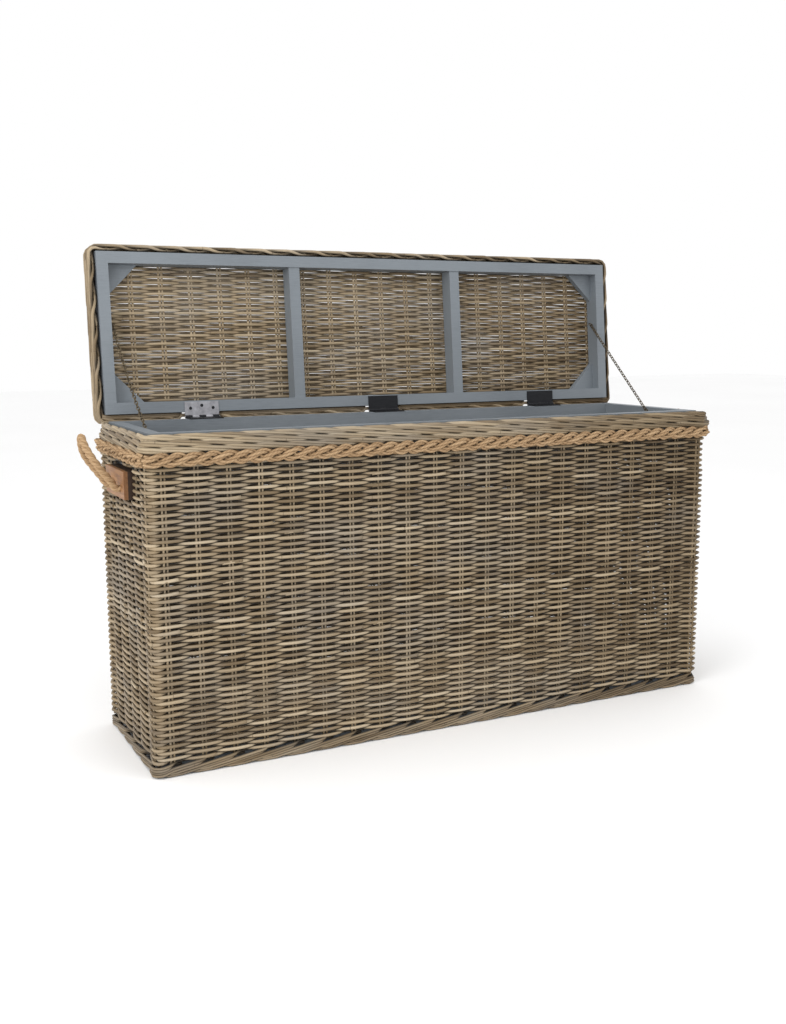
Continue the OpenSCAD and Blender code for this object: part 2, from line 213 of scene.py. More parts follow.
floor_mesh = bpy.data.meshes.new("studio_floor")
floor_form = bmesh.new()
bmesh.ops.create_grid(floor_form, x_segments=2, y_segments=2, size=14)
floor_form.to_mesh(floor_mesh)
floor_form.free()
studio_floor = bpy.data.objects.new("studio_floor", floor_mesh)
studio_floor.location.z = -0.0005
floor_mesh.materials.append(finish("pale_floor", pale_floor))
bpy.context.scene.collection.objects.link(studio_floor)

# ---- Painted frame ---------------------------------------------------------
# Four boards line the mouth of the box and a rail frame with two bars and four
# gussets stiffens the lid. All are planed wood, brushed with blue-grey paint.


def blue_grey_paint(wire):
    place = wire.place()
    cloud = place.noise(5.0, 3.0)
    brush = place.stretched(4, 60, 60).noise(9.0, 4.0)
    specks = place.noise(420.0, 1.0) > 0.8
    body = (cloud * 0.6 + brush * 0.4).colours(
        (0.3, (0.152, 0.172, 0.192)),
        (0.5, (0.185, 0.208, 0.230)),
        (0.75, (0.212, 0.236, 0.260)),
    )
    return {
        "Base Color": (specks * 0.25).mixed(body, (0.33, 0.36, 0.38)),
        "Roughness": 0.42 + 0.2 * cloud,
        "Height": (brush * 0.7 + place.noise(240.0, 2.0) * 0.3, 0.0003),
    }


def dress(material, *names):
    """Gives CAD nodes a material."""
    for name in names:
        mesh = frame["nodes"][name].data
        mesh.materials.clear()
        mesh.materials.append(material)


SIDES = ("front", "back", "left", "right")
paint = finish("blue_grey_paint", blue_grey_paint)
dress(paint, *("top_board_" + side for side in SIDES))
dress(paint, *("sill_" + side for side in SIDES))
dress(paint, *("lid_rail_" + side for side in SIDES))
dress(paint, "lid_bar_left", "lid_bar_right", "lid_gussets")

# ---- Corner posts and floor ------------------------------------------------
# Square softwood posts stand inside the four corners and a thin plywood floor
# lies on the sills. Both are left bare.


def bare_wood(wire):
    place = wire.place()
    grain = place.stretched(60, 60, 3).noise(4.0, 5.0, 0.6)
    shade = (grain * 0.7 + place.noise(7.0) * 0.3).colours(
        (0.32, (0.30, 0.20, 0.115)),
        (0.5, (0.42, 0.30, 0.18)),
        (0.7, (0.52, 0.39, 0.25)),
    )
    return {"Base Color": shade, "Roughness": 0.62, "Height": (grain, 0.0004)}


def birch_ply(wire):
    place = wire.place()
    grain = place.stretched(3, 34, 34).noise(4.0, 5.0, 0.6)
    shade = (grain * 0.75 + place.noise(3.0) * 0.25).colours(
        (0.3, (0.38, 0.27, 0.16)),
        (0.52, (0.52, 0.39, 0.25)),
        (0.7, (0.60, 0.47, 0.32)),
    )
    return {"Base Color": shade, "Roughness": 0.6, "Height": (grain, 0.0003)}


dress(
    finish("bare_softwood", bare_wood),
    *(f"corner_post_{a}_{b}" for a in ("front", "back") for b in ("left", "right")),
)
dress(finish("birch_ply", birch_ply), "floor_panel")

# ---- Woven walls -----------------------------------------------------------
# Round canes 5.5 mm thick, woven over one pair of stakes and under the next, row
# upon row. Fifty-two pairs of stakes stand round the box. Each weaver is a cane
# of 0.6 to 1.5 m, spliced behind a stake with its cut end left showing.
MM = 0.001


class Loop:
    """A rounded rectangle about the box, from the front left corner anticlockwise."""

    def __init__(self, left, right, front, back, corner):
        self.low = np.array([left + corner, front + corner])
        self.high = np.array([right - corner, back - corner])
        self.corner = corner
        long, short = self.high - self.low
        arc = corner * math.pi / 2
        self.ends = np.cumsum([arc / 2, long, arc, short, arc, long, arc, short, arc / 2])
        self.length = self.ends[-1]

    def at(self, s):
        """Points and outward directions at the distances s, from the middle of that corner."""
        # Nine parts: half the front left corner, a side, a corner, and so on to its other half.
        s = np.mod(np.asarray(s, float), self.length)
        part = np.searchsorted(self.ends, s, side="right").clip(0, 8)
        begun = s - np.concatenate([[0], self.ends])[part]
        turn = np.zeros_like(s)
        for p in range(9):
            here = part == p
            start = [-3, -2, -2, 0, 0, 2, 2, 4, 4][p] * math.pi / 4
            turn[here] = start + (begun[here] / self.corner if p % 2 == 0 else 0)
        out = np.stack([np.cos(turn), np.sin(turn)], axis=-1)
        ahead = np.stack([-out[..., 1], out[..., 0]], axis=-1)
        corners = np.array([
            [self.low[0], self.low[1]], [self.low[0], self.low[1]],
            [self.high[0], self.low[1]], [self.high[0], self.low[1]],
            [self.high[0], self.high[1]], [self.high[0], self.high[1]],
            [self.low[0], self.high[1]], [self.low[0], self.high[1]],
            [self.low[0], self.low[1]],
        ])
        along = np.where(part % 2 == 1, begun, 0)[..., None]
        return corners[part] + self.corner * out + ahead * along, out

    def beyond(self, points):
        """How far points stand outside the line, in millimetres; less than 0 inside it."""
        off = np.abs(points[:, :2] - (self.low + self.high) / 2) - (self.high - self.low) / 2
        outside = np.linalg.norm(np.maximum(off, 0), axis=1)
        return (outside + np.minimum(off.max(axis=1), 0) - self.corner) / MM


def canes(name, runs, thick, material, body, sides=6, wavering=0.05, light=None):
    """Round canes as one piece. A run is its points, its tone from 0 to 1 and its fullness.

    light(place, middle) works out the light at each place on a cane, from 0 deep in the
    weave to 1 outside, where middle is the middle of the cane there.
    """
    rng = np.random.default_rng(len(runs) + 7)
    shape = bpy.data.curves.new(name, "CURVE")
    shape.dimensions = "3D"
    shape.bevel_depth = 1.0
    shape.bevel_resolution = (sides - 4) // 2
    tones, fibres, middles = [], [], []
    angle = np.arange(sides) * 2 * math.pi / sides
    for points, tone, share in runs:
        count = len(points)
        line = shape.splines.new("POLY")
        line.points.add(count - 1)
        line.points.foreach_set("co", np.hstack([points, np.ones((count, 1))]).ravel())
        steps = np.linalg.norm(np.diff(points, axis=0), axis=1)
        along = np.concatenate([[0], np.cumsum(steps)])
        swell = 1 + wavering * np.sin(along * rng.uniform(15, 45) + rng.uniform(0, 6))
        line.points.foreach_set("radius", thick / 2 * share * swell)
        tones.append(np.full(count * sides, tone))
        middles.append(np.repeat(points, sides, axis=0))
        fibre = np.zeros((count, sides, 3))
        fibre[..., 0] = thick / 2 * np.cos(angle)
        fibre[..., 1] = thick / 2 * np.sin(angle)
        fibre[..., 2] = along[:, None] + rng.uniform(0, 40)
        fibres.append(fibre.reshape(-1, 3))
    bent = bpy.data.objects.new(name, shape)
    mesh = bpy.data.meshes.new_from_object(bent)
    bpy.data.objects.remove(bent)
    mesh.attributes.new("tone", "FLOAT", "POINT").data.foreach_set("value", np.concatenate(tones))
    fibre = mesh.attributes.new("fibre", "FLOAT_VECTOR", "POINT")
    fibre.data.foreach_set("vector", np.concatenate(fibres).ravel())
    place = np.zeros(len(mesh.vertices) * 3)
    mesh.vertices.foreach_get("co", place)
    lit = np.ones(len(mesh.vertices))
    if light:
        lit = light(place.reshape(-1, 3), np.vstack(middles)).clip(0, 1)
    mesh.attributes.new("light", "FLOAT", "POINT").data.foreach_set("value", lit)
    mesh.shade_smooth()
    form = bmesh.new()
    form.from_mesh(mesh)
    cut_edges = [edge for edge in form.edges if edge.is_boundary]
    for end in bmesh.ops.holes_fill(form, edges=cut_edges, sides=sides)["faces"]:
        end.smooth = False
    form.to_mesh(mesh)
    form.free()
    mesh.materials.clear()
    mesh.materials.append(material)
    piece = bpy.data.objects.new(name, mesh)
    bpy.context.scene.collection.objects.link(piece)
    if body:
        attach(piece, body)
    return piece


def weathered_cane_and_painted_shade(wire):
    tone = wire.attribute("tone")
    light = wire.attribute("light")
    fibre = wire.attribute("fibre", 1)
    place = wire.place()
    streaks = fibre.stretched(500, 500, 14).noise(1.6, 4.0, 0.65)
    blotches = fibre.stretched(60, 60, 9).noise(1.0, 2.0)
    patch = place.noise(2.4, 1.0)
    # Painted shade: the canes get darker towards the right end of the trunk and on its left end face,
    # and grey less there.
    rightwards = wire.maths("MAXIMUM", place.part(0), 0.0)
    left_face = wire.maths("MAXIMUM", place.part(0) * -1.0 - 0.585, 0.0)
    painted_end_shade = rightwards * 0.31 + left_face * 4.5
    patchy = patch * 0.16 - painted_end_shade
    warm = (tone * 0.50 + streaks * 0.34 + blotches * 0.30 + patchy - 0.17).colours(
        (0.08, (0.105, 0.070, 0.036)),
        (0.28, (0.190, 0.136, 0.076)),
        (0.46, (0.300, 0.226, 0.138)),
        (0.64, (0.425, 0.335, 0.218)),
        (0.82, (0.570, 0.472, 0.335)),
        (1.0, (0.720, 0.630, 0.490)),
    )
    clouds = place.stretched(1, 1, 1.6).noise(6.0, 2.0)
    greyed = clouds * 0.6 + fibre.stretched(20, 20, 6).noise(1.0) * 0.4 - painted_end_shade * 0.7
    share = greyed.colours((0.44, (0.0, 0.0, 0.0)), (0.62, (0.55, 0.55, 0.55)))
    aged = share.mixed(warm, (0.300, 0.262, 0.212))
    ring = wire.maths("ABSOLUTE", wire.maths("FRACT", fibre.part(2) * 2.1) - 0.5) < 0.0016
    # Painted shade: the light attribute turns the canes near black deep in the weave, between the
    # rows and on their sides, and leaves full colour on the outer faces.
    shown = light * light * (3.0 - 2.0 * light)
    bare = (ring * 0.55).mixed(aged, (0.10, 0.068, 0.042))
    return {
        "Base Color": shown.mixed((0.010, 0.007, 0.0045), bare),
        "Roughness": 0.40 + 0.3 * streaks,
        "Specular IOR Level": 0.34,
        "Height": (streaks * 0.6 + blotches * 0.4 - ring * 0.3, 0.0004),
    }


cane = finish("weathered_cane_and_painted_shade", weathered_cane_and_painted_shade)

wall_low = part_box("wall_front")[0]
wall_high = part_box("wall_back")[1]
wall_corner = 12 * MM
wall_inset = 5.2 * MM
wall_ring = Loop(
    wall_low.x + wall_inset, wall_high.x - wall_inset,
    wall_low.y + wall_inset, wall_high.y - wall_inset, wall_corner - wall_inset,
)
weaver_thick = 5.5 * MM
weaver_fullness = {"front": 1.09, "right": 1.09, "back": 1.24, "left": 1.09}
stake_thick = 4.7 * MM
stake_gap = 6.2 * MM
row_pitch = 5.65 * MM
weave_depth = 3.9 * MM
opening_low, opening_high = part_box("handle_block_left")
opening_gap = 4.5 * MM
finer = 8
keep_every = 6
# Splices: how many pairs a cane runs, how far its ends pass the pair, and where they go.
shortest_cane, longest_cane = 11, 26
splice_lead, splice_tail = 0.28, 0.34
begun_in, begun_down = 1.2 * MM, 1.5 * MM
cut_end_out, cut_end_up = 2.4 * MM, 1.7 * MM

# The sides in the order that the pairs of stakes go round them. Each begins at a corner pair.
ROUND = ("front", "right", "back", "left")
FRONT_PAIRS = 20
END_PAIRS = 4
PAIRS = 2 * FRONT_PAIRS + 2 * END_PAIRS + 4
corner_at = np.cumsum([0, FRONT_PAIRS + 1, END_PAIRS + 1, FRONT_PAIRS + 1, END_PAIRS + 1])
corner_pair_back = np.array([13, 8, 0, 0, 13]) * MM
front_pitch = 57.8 * MM
front_first = -569 * MM
end_pitch = 62 * MM
end_first = 79 * MM


def pair_places():
    """Where each pair of stakes stands round the wall, in order, as distances."""
    arc = wall_ring.corner * math.pi / 4
    left = wall_ring.low[0]
    front = wall_ring.low[1]
    long, short = wall_ring.high - wall_ring.low
    places = [0.0]
    places += [arc + front_first + front_pitch * k - left for k in range(FRONT_PAIRS)]
    corner = wall_ring.ends[1] + arc
    places += [corner]
    places += [corner + arc - end_first - front + end_pitch * k for k in range(END_PAIRS)]
    corner = wall_ring.ends[3] + arc
    places += [corner]
    spare = (long - front_pitch * (FRONT_PAIRS - 1)) / 2
    places += [corner + arc + spare + front_pitch * k for k in range(FRONT_PAIRS)]
    corner = wall_ring.ends[5] + arc
    places += [corner]
    left_first = corner + arc + wall_ring.high[1] + end_first - end_pitch * (END_PAIRS - 1)
    places += [left_first + end_pitch * k for k in range(END_PAIRS)]
    return np.array(places + [wall_ring.length])


pair_s = pair_places()
corner_s = pair_s[corner_at[:4]].copy()
pair_s[corner_at] -= corner_pair_back
corner_reach = 17 * MM
WEAVE_CORNERS = (3, 6, 3, 6)


def at_corners(s, more):
    """How far canes swell out near the corners; more is in millimetres, one for each corner."""
    gaps = (np.asarray(s)[..., None] - corner_s + wall_ring.length / 2) % wall_ring.length
    near = np.exp(-(((gaps - wall_ring.length / 2) / corner_reach) ** 2))
    return (near * more).sum(axis=-1) * MM


def side_of(pair):
    """The side of the box that a pair of stakes begins or stands on."""
    return ROUND[int(np.searchsorted(corner_at, pair, "right")) - 1]


def round_wall(phase, out, more):
    """Points round the wall at a phase counted in pairs of stakes, moved outwards."""
    s = np.interp(np.mod(phase, PAIRS), np.arange(PAIRS + 1), pair_s)
    point, outward = wall_ring.at(s)
    return point + outward * (out + at_corners(s, more))[:, None]


def at_height(flat, z):
    return np.column_stack([flat, np.broadcast_to(z, len(flat))])


def unevenness(phase, row):
    """The gentle rise and fall that a hand-woven row has."""
    long_wave = 0.9 * MM * np.sin(phase * 0.37 + row * 0.11)
    return long_wave + 0.5 * MM * np.sin(phase * 1.1 + row * 0.31)


def in_opening(points):
    """Which points of a cane would run through a handle block."""
    at_end = np.abs(points[:, 0]) > wall_high.x / 2
    between = np.abs(points[:, 1]) < opening_high.y + opening_gap
    above = points[:, 2] > opening_low.z - opening_gap
    return at_end & between & above & (points[:, 2] < opening_high.z + opening_gap)


def cut_round_blocks(runs):
    """The same canes with the lengths inside the blocks' openings cut away."""
    kept = []
    for points, tone, share in runs:
        inside = in_opening(points)
        if not inside.any():
            kept.append((points, tone, share))
            continue
        steps = np.linspace(0, len(points) - 1, (len(points) - 1) * finer + 1)
        fine = np.column_stack([np.interp(steps, np.arange(len(points)), p) for p in points.T])
        outside = np.flatnonzero(~in_opening(fine))
        for part in np.split(outside, np.flatnonzero(np.diff(outside) > 1) + 1):
            if len(part) > finer:
                thinned = np.unique(np.append(part[::keep_every], part[-1]))
                kept.append((fine[thinned], tone, share))
    return kept


def weaver_runs(first, last, rows, bottom, draw, step):
    """The canes of one wall, cut at its corners and at the splices of each row.

    step is the number of points from one pair of stakes to the next.
    """
    runs = []
    for row in range(rows):
        chance = random.Random(row * 31 + 5)
        splice = chance.randrange(PAIRS)
        splices = []
        while splice < 2 * PAIRS:
            splices.append(splice % PAIRS + (splice % PAIRS + row) % 2)
            splice += chance.randrange(shortest_cane, longest_cane)
        cuts = sorted({first, last} | {k for k in splices if first < k < last})
        for begin, end in zip(cuts, cuts[1:]):
            tone = min(max(draw.gauss(0.5, 0.26), 0.02), 1.0)
            lead = splice_lead if begin != first else 0
            tail = splice_tail if end != last else 0
            count = int(round((end - begin + lead + tail) * step)) + 1
            phase = np.linspace(begin - lead, end + tail, count)
            wave = np.cos(math.pi * (phase + row))
            out = weave_depth * np.sign(wave) * np.abs(wave) ** 0.8
            z = bottom + row_pitch * row + unevenness(phase, row)
            if tail:
                past = np.clip((phase - end) / tail, 0, 1)
                out = out + past * cut_end_out
                z = z + past * cut_end_up
            if lead:
                before = np.clip((begin - phase) / lead, 0, 1)
                out = out - before * begun_in
                z = z - before * begun_down
            flat = round_wall(phase, out, WEAVE_CORNERS)
            runs.append((at_height(flat, z), tone, draw.uniform(0.97, 1.08)))
    return cut_round_blocks(runs)


def stake_runs(first, last, low, high, draw):
    """Both stakes of each pair of one wall; the pair at its last corner is the next wall's."""
    runs = []
    for pair in range(first, last):
        for side in (-0.5, 0.5):
            s = pair_s[pair] + side * stake_gap
            point, outward = wall_ring.at([s])
            heights = np.linspace(low, high, 14)
            sway = at_corners(s, WEAVE_CORNERS) + 0.5 * MM * np.sin(heights * 31 + pair)
            flat = point + outward * sway[:, None]
            tone = draw.uniform(0.45, 0.85)
            runs.append((at_height(flat, heights), tone, draw.uniform(0.9, 1.05)))
    return cut_round_blocks(runs)


def roundness(facing):
    """Light across a cane, from how far a place on it faces outwards, 1 being straight out."""
    return 0.30 + 0.70 * ((facing - 0.25) / 0.6).clip(0, 1)


def weave_light(place, middle):
    """Light on the weavers: both faces of the wall are bright, its middle and their sides dark."""
    proud = wall_ring.beyond(place)
    facing = np.abs(proud - wall_ring.beyond(middle)) / (weaver_thick / MM / 2)
    return ((np.abs(proud) - 0.4) / 2.7).clip(0, 1) * roundness(facing + 0.15)


def stake_light(place, middle):
    """Light on the stakes, which are bright wherever they stand clear of the wall's middle."""
    return (np.abs(wall_ring.beyond(place)) - 0.2) / 2.8


weave_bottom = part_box("wall_front")[0].z + 3 * MM
weave_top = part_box("rope_trim")[0].z + 4 * MM
weave_rows = int((weave_top - weave_bottom) / row_pitch) + 1
wall_draw = random.Random(11)
points_per_pair = {"front": 8, "right": 8, "back": 7, "left": 8}
stake_low = weave_bottom - 4 * MM
stake_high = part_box("rim_front")[0].z
for wall, first, last in zip(ROUND, corner_at, corner_at[1:]):
    stakes = stake_runs(first, last, stake_low, stake_high, wall_draw)
    weavers = weaver_runs(first, last, weave_rows, weave_bottom, wall_draw, points_per_pair[wall])
    thick = weaver_thick * weaver_fullness[wall]
    woven = canes("woven_wall_" + wall, weavers, thick, cane, "box", light=weave_light)
    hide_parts("wall_" + wall)
    standing = canes("stakes_" + wall, stakes, stake_thick, cane, "box", light=stake_light)

# ---- Rim -------------------------------------------------------------------
# Three rows of wale close the top of the weave: each cane passes in front of
# two pairs of stakes and behind the third, sinking as it goes. It is woven on
# the stakes, and dips under the hinge knuckles at the back.


def swept(t, begin, end, soft):
    """1 between begin and end, with soft ends."""
    rise = np.clip((t - begin) / soft + 0.5, 0, 1)
    fall = np.clip((end - t) / soft + 0.5, 0, 1)
    return (rise * rise * (3 - 2 * rise)) * (fall * fall * (3 - 2 * fall))


rim_low, rim_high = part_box("rim_front")[0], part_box("rim_back")[1]
wale_thick = 6.8 * MM
wale_rows = 3
wale_under_top = 2.4 * MM
wale_top = rim_high.z - wale_under_top
wale_bottom = rim_low.z - 1.2 * MM
wale_pitch = (wale_top - wale_bottom) / wale_rows
wale_fall = 4.5 * MM
wale_out = 9.2 * MM
wale_lean = 2.5 * MM
wale_inside = 3.0 * MM
wale_shift = 0.33
wale_slant = ([-0.5, 0.05, 1.95, 2.5], [0, 0.98, -0.98, 0])
rim_corners = (2, 9, 2, 0)
right_end = 580 * MM
hinge_dip = 1.8 * MM
hinge_reach = 45 * MM
hinge_spots = [
    sum((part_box(f"hinge_box_leaf_{name}")[i].x for i in (0, 1))) / 2
    for name in ("left", "middle", "right")
]


def wale(pair, z, out):
    """One cane of wale from its start behind a pair, past two more, to its end behind."""
    t = np.linspace(-0.5, 2.5, 31)
    shown = swept(t, -0.26, 2.26, 0.7)
    flat = round_wall(pair + t, -wale_inside + (wale_inside + out) * shown, rim_corners)
    return flat, z + wale_fall * np.interp(t, *wale_slant)


def rim_light(place, middle):
    """Light on the rim, which leans in: dark where a cane sinks or meets the next."""
    proud = wall_ring.beyond(place)
    face = (wale_out - wale_lean * (place[:, 2] - wale_bottom) / wale_pitch) / MM
    facing = (proud - wall_ring.beyond(middle)) / (wale_thick / MM / 2)
    on_top = (place[:, 2] - wale_top + wale_under_top) / (2 * MM)
    sunk = 0.42 + 0.58 * ((proud - face + 3.0) / 4.6).clip(0, 1)
    return sunk * np.maximum(roundness(facing - 0.2), on_top)


rim_draw = random.Random(23)
rim_runs = {side: [] for side in SIDES}
for row in range(wale_rows):
    top_row = row == wale_rows - 1
    for pair in range(PAIRS):
        middle = (row + 0.5) * wale_pitch - (0.6 * MM if top_row else 0)
        flat, height = wale(pair + wale_shift * row, wale_bottom + middle, wale_out - wale_lean * row)
        tone = rim_draw.uniform(0.12, 0.95)
        height = np.minimum(height, wale_top - 3.1 * MM)
        if top_row:
            for spot in hinge_spots:
                near = (flat[:, 1] > 0) * np.exp(-(((flat[:, 0] - spot) / hinge_reach) ** 4))
                height = height - hinge_dip * near
            height = height - 1.6 * MM * (flat[:, 0] > right_end)
        run = (at_height(flat, height), tone, rim_draw.uniform(0.92, 1.04))
        rim_runs[side_of(pair)].append(run)
for side, runs in rim_runs.items():
    rim = canes("wale_rim_" + side, runs, wale_thick, cane, "box", sides=8, light=rim_light)
    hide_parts("rim_" + side)

# ---- Rope trim -------------------------------------------------------------
# Three jute strands, each laid up from three plies, are plaited round the box
# just under the rim, with the rising strands lying over the falling ones.


def twisted_jute(wire):
    tone = wire.attribute("tone")
    fibre = wire.attribute("fibre", 1)
    angle = wire.maths("ARCTAN2", fibre.part(1), fibre.part(0))
    light = wire.attribute("light")
    yarns = wire.maths("SINE", angle * 3.0 + fibre.part(2) * 760.0) * 0.5 + 0.5
    hairs = fibre.stretched(900, 900, 160).noise(1.4, 5.0, 0.7)
    shade = (tone * 0.3 + yarns * 0.12 + hairs * 0.42 + 0.05).colours(
        (0.2, (0.17, 0.098, 0.048)),
        (0.42, (0.36, 0.232, 0.126)),
        (0.62, (0.52, 0.362, 0.212)),
        (0.85, (0.69, 0.530, 0.345)),
    )
    return {
        "Base Color": light.mixed((0.075, 0.040, 0.016), shade),
        "Roughness": 0.86,
        "Specular IOR Level": 0.2,
        "Height": (yarns * 0.6 + hairs * 0.6, 0.0007),
    }


def laid_up(path, aside, orbit, lay, plies):
    """The middles of the plies that wind round a path; aside is a direction across it."""
    ahead = np.gradient(path, axis=0)
    ahead /= np.linalg.norm(ahead, axis=1)[:, None]
    across = np.cross(ahead, aside)
    across /= np.linalg.norm(across, axis=1)[:, None]
    up = np.cross(across, ahead)
    run = np.concatenate([[0], np.cumsum(np.linalg.norm(np.diff(path, axis=0), axis=1))])
    wound = []
    for ply in range(plies):
        angle = (2 * math.pi * (run / lay + ply / plies))[:, None]
        wound.append(path + orbit * (np.cos(angle) * across + np.sin(angle) * up))
    return wound


jute = finish("twisted_jute", twisted_jute)
trim_low, trim_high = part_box("rope_trim")
trim_mid = (trim_low.z + trim_high.z) / 2 + 0.7 * MM
trim_corner = 5 * MM
trim_ring = Loop(wall_low.x, wall_high.x, wall_low.y, wall_high.y, trim_corner)
lobe_pitch = 31 * MM
trim_lobes = 3 * round(trim_ring.length / lobe_pitch / 3)
trim_sway = 7.8 * MM
trim_weave = 3.0 * MM
trim_stand = 7.4 * MM
ply_orbit = 2.75 * MM
ply_thick = 5.7 * MM
ply_lay = 75 * MM
points_per_lobe = 12
trim_s = np.linspace(0, trim_ring.length, trim_lobes * points_per_lobe + 1)
trim_draw = random.Random(3)
trim_runs = []
for strand in range(3):
    beat = 2 * math.pi * (trim_s / trim_ring.length * trim_lobes / 3 + strand / 3)
    flat, outward = trim_ring.at(trim_s)
    stand = trim_stand + trim_weave * (0.45 * np.sin(2 * beat) + np.cos(beat))
    path = at_height(flat + outward * stand[:, None], trim_mid + trim_sway * np.sin(beat))
    aside = at_height(outward, 0.0)
    turns = round(trim_ring.length * 1.16 / ply_lay)
    length = np.linalg.norm(np.diff(path, axis=0), axis=1).sum()
    for ply in laid_up(path, aside, ply_orbit, -length / turns, 3):
        trim_runs.append((ply, trim_draw.uniform(0.3, 0.8), 1.0))


def trim_light(place, middle):
    """Light on the plait: dark where a strand dives and where the plies meet."""
    proud = trim_ring.beyond(place)
    facing = (proud - trim_ring.beyond(middle)) / (ply_thick / MM / 2)
    return ((proud - 3.0) / 7.0).clip(0, 1) * (0.35 + 0.65 * (1.2 * facing).clip(0, 1))


rope_trim = canes(
    "plaited_rope_trim", trim_runs, ply_thick, jute, "box", sides=8, wavering=0.03, light=trim_light
)
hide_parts("rope_trim")

# ---- Foot border -----------------------------------------------------------
# The stakes are turned down and laid to the left in a rolled border, which the
# trunk stands on. Two canes leave every pair and sink past the next two.
border_thick = 5.2 * MM
border_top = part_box("foot_border")[1].z - 1 * MM
border_foot = 3.0 * MM
border_apart = 2.8 * MM
border_sunk = 3.0 * MM
border_out = 10.0 * MM
border_fall = ([-0.35, 0.0, 1.0, 2.0, 2.45], [1.0, 0.98, 0.52, 0.02, 0.06])
border_corners = (2, 2, 2, 2)
border_draw = random.Random(41)
border_runs = {side: [] for side in SIDES}
for pair in range(PAIRS):
    lean = border_draw.uniform(-0.8, 0.8) * MM
    for above in (-1, 1):
        t = np.linspace(-0.35, 2.45, 24)
        out = -border_sunk + border_out * swept(t, 0.02, 2.36, 0.4)
        flat = round_wall(pair + 0.05 * above - t, out, border_corners)
        fall = np.interp(t, *border_fall)
        z = border_foot + (border_top - border_foot) * fall
        z = z + above * border_apart * (1 - fall * 0.1) + lean * (1 - np.abs(t - 1)).clip(0)
        tone = border_draw.uniform(0.0, 0.62)
        run = (at_height(flat, np.maximum(z, border_foot)), tone, border_draw.uniform(0.9, 1.03))
        border_runs[side_of(pair)].append(run)


def border_light(place, middle):
    """Light on the border, which is dimmer where a cane sinks in and dark between two canes."""
    proud = wall_ring.beyond(place)
    facing = (proud - wall_ring.beyond(middle)) / (border_thick / MM / 2)
    return (0.3 + 0.7 * ((proud - 1.0) / 5.5).clip(0, 1)) * roundness(facing - 0.25)


for side, runs in border_runs.items():
    border = canes(
        "foot_border_" + side, runs, border_thick, cane, "box", sides=8, light=border_light
    )
    if side == "front":
        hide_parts("foot_border")

# ---- Lid panel -------------------------------------------------------------
# The lid's top is woven as the walls are, with the weavers running lengthwise,
# and is nailed to the painted frame. Everything on the lid is laid out as if it
# were shut and then swung open about the hinge pin.
lid_joint = [joint for joint in frame["joints"] if joint["name"] == "lid_hinge"][0]
pin = Vector(lid_joint["pos_m"])
opening = math.radians(lid_joint["range_deg"][1])
swing_open = Matrix.Translation(pin) @ Matrix.Rotation(-opening, 4, "X") @ Matrix.Translation(-pin)
to_open = np.array(swing_open)
to_shut = np.array(swing_open.inverted())


def shut(points):
    """Points of the open lid, taken to where they are when it is shut."""
    return points @ to_shut[:3, :3].T + to_shut[:3, 3]


def opened(points):
    """Points of the shut lid, swung open with it."""
    return points @ to_open[:3, :3].T + to_open[:3, 3]


def shut_box(name):
    """The lowest and highest corner of a lid node, as if the lid were shut."""
    mesh = frame["nodes"][name].data
    points = np.zeros(len(mesh.vertices) * 3)
    mesh.vertices.foreach_get("co", points)
    points = shut(points.reshape(-1, 3))
    return points.min(0), points.max(0)


panel_low, panel_high = shut_box("lid_panel")
panel_mid = (panel_low[2] + panel_high[2]) / 2
lid_pair_first = -578 * MM
lid_pair_pitch = 60.4 * MM
lid_rows_pitch = 5.5 * MM
lid_depth = 2.9 * MM
lid_weaver_thick = 6.2 * MM
cut_overlap = (14 * MM, 12 * MM)
panel_draw = random.Random(77)
panel_runs = []
lid_row = 0
while panel_low[1] + (lid_row + 0.5) * lid_rows_pitch < panel_high[1]:
    y = panel_low[1] + (lid_row + 0.5) * lid_rows_pitch
    cut = panel_draw.uniform(-0.5, 0.5)
    cut = lid_pair_first + lid_pair_pitch * (
        2 * round((cut - lid_pair_first) / lid_pair_pitch / 2) + lid_row % 2
    )
    for begin, end in (
        (panel_low[0], cut + cut_overlap[0]), (cut - cut_overlap[1], panel_high[0])
    ):
        x = np.linspace(begin, end, max(int((end - begin) / lid_pair_pitch * 8), 3))
        phase = (x - lid_pair_first) / lid_pair_pitch
        wave = np.cos(math.pi * (phase + lid_row))
        z = panel_mid + lid_depth * np.sign(wave) * np.abs(wave) ** 0.8
        sway = 0.8 * MM * np.sin(phase * 0.6 + lid_row * 0.12)
        sway = sway + 0.4 * MM * np.sin(phase * 1.9 + lid_row)
        points = np.column_stack([x, y + sway, z])
        tone = min(max(panel_draw.gauss(0.5, 0.2), 0.02), 1)
        panel_runs.append((opened(points), tone, panel_draw.uniform(0.95, 1.06)))
    lid_row += 1
lid_stakes = []
lid_pair = 0
while lid_pair_first + lid_pair_pitch * lid_pair < panel_high[0]:
    for side in (-0.5, 0.5):
        x = lid_pair_first + lid_pair_pitch * lid_pair + side * stake_gap
        y = np.linspace(panel_low[1], panel_high[1], 8)
        points = np.column_stack([np.full(8, x), y, np.full(8, panel_mid)])
        lid_stakes.append((opened(points), panel_draw.uniform(0.6, 1.0), 1.0))
    lid_pair += 1


def panel_light(place, middle):
    """Light on the lid's canes, which is bright on both faces and dim between them."""
    proud = np.abs(shut(place)[:, 2] - panel_mid) / MM
    core = np.abs(shut(middle)[:, 2] - panel_mid) / MM
    facing = np.abs(proud - core) / 2.9
    return (0.55 + (proud - 0.6) / 4.2).clip(0, 1) * (0.30 + 0.70 * roundness(facing + 0.1))


woven_lid = canes(
    "woven_lid_panel", panel_runs, lid_weaver_thick, cane, "lid", light=panel_light
)
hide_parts("lid_panel")
lid_stake_piece = canes("lid_panel_stakes", lid_stakes, stake_thick, cane, "lid")

